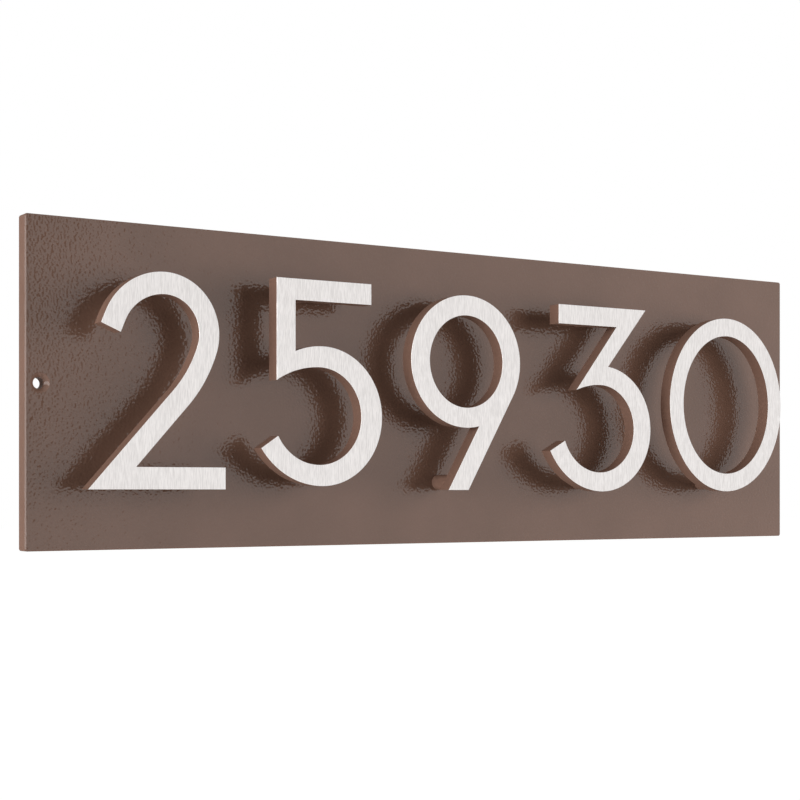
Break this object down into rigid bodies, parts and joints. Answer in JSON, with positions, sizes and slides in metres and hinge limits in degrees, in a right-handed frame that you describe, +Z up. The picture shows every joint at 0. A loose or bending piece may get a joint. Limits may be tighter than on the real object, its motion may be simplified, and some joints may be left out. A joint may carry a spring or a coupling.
{
  "type": "house number plaque",
  "caption": "Wall plaque with flat brushed numerals held off a long glossy painted plate on short round posts, screwed on from behind; countersunk wall screw holes near the ends.",
  "frame": {"origin": "middle of the plate's back face, on the wall", "axes": "+X along the plate as the number is read, +Y into the wall, +Z up"},
  "size_m": [0.4712, 0.0302, 0.1524],
  "materials": {
    "brown_paint": "gloss with a light orange peel on flat faces, satin on cut edges and posts",
    "brushed_face": "brushed upright on the face, painted brown on the sides and back",
    "screw_steel": "plain"
  },
  "bodies": {
    "root": {"backing_plate": "brown_paint", "numeral_two": "brushed_face", "numeral_five": "brushed_face", "numeral_nine": "brushed_face", "numeral_three": "brushed_face", "numeral_zero": "brushed_face", "post_two_upper": "brown_paint", "post_two_lower": "brown_paint", "post_five_upper": "brown_paint", "post_five_lower": "brown_paint", "post_nine_upper": "brown_paint", "post_nine_lower": "brown_paint", "post_three_upper": "brown_paint", "post_three_lower": "brown_paint", "post_zero_upper": "brown_paint", "post_zero_lower": "brown_paint", "rear_screws": "screw_steel"}
  },
  "joints": []
}
